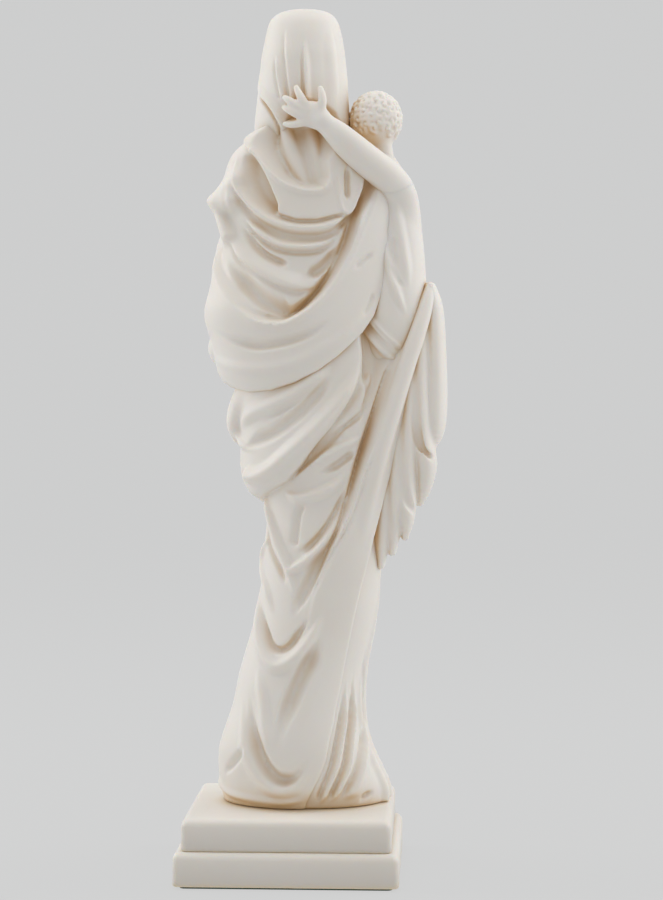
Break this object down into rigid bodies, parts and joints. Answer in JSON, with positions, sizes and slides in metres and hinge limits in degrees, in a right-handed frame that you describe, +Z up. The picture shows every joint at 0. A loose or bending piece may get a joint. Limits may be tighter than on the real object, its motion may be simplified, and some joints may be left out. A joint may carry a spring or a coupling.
{
  "type": "madonna and child statue",
  "caption": "Standing draped mother holding a child on one arm, cast in ivory stone, on a square two-step plinth.",
  "frame": {"origin": "centre of the underside of the plinth's felt pad", "axes": "+Z up the figure; the faces look towards -Y; the child sits on the -X side"},
  "size_m": [0.1244, 0.1049, 0.4],
  "materials": {
    "figure_stone": "satin cast alabaster stone",
    "plinth_stone": "satin cast alabaster stone",
    "anchor_steel": "plain zinc-grey steel",
    "felt": "matt felt"
  },
  "bodies": {
    "root": {"felt_pad": "felt", "lower_step": "plinth_stone", "upper_step": "plinth_stone", "anchor_rod": "anchor_steel", "anchor_washer": "anchor_steel", "anchor_nut": "anchor_steel", "gown": "figure_stone", "bodice": "figure_stone", "mantle_skirt": "figure_stone", "mantle_swag": "figure_stone", "mantle_cascade": "figure_stone", "veil": "figure_stone", "mother_head": "figure_stone", "mother_right_hand": "figure_stone", "mother_left_hand": "figure_stone", "mother_right_foot": "figure_stone", "mother_left_foot": "figure_stone", "child_tunic": "figure_stone", "child_head": "figure_stone", "child_left_arm": "figure_stone", "child_right_arm": "figure_stone", "child_left_leg": "figure_stone", "child_right_leg": "figure_stone"}
  },
  "joints": []
}
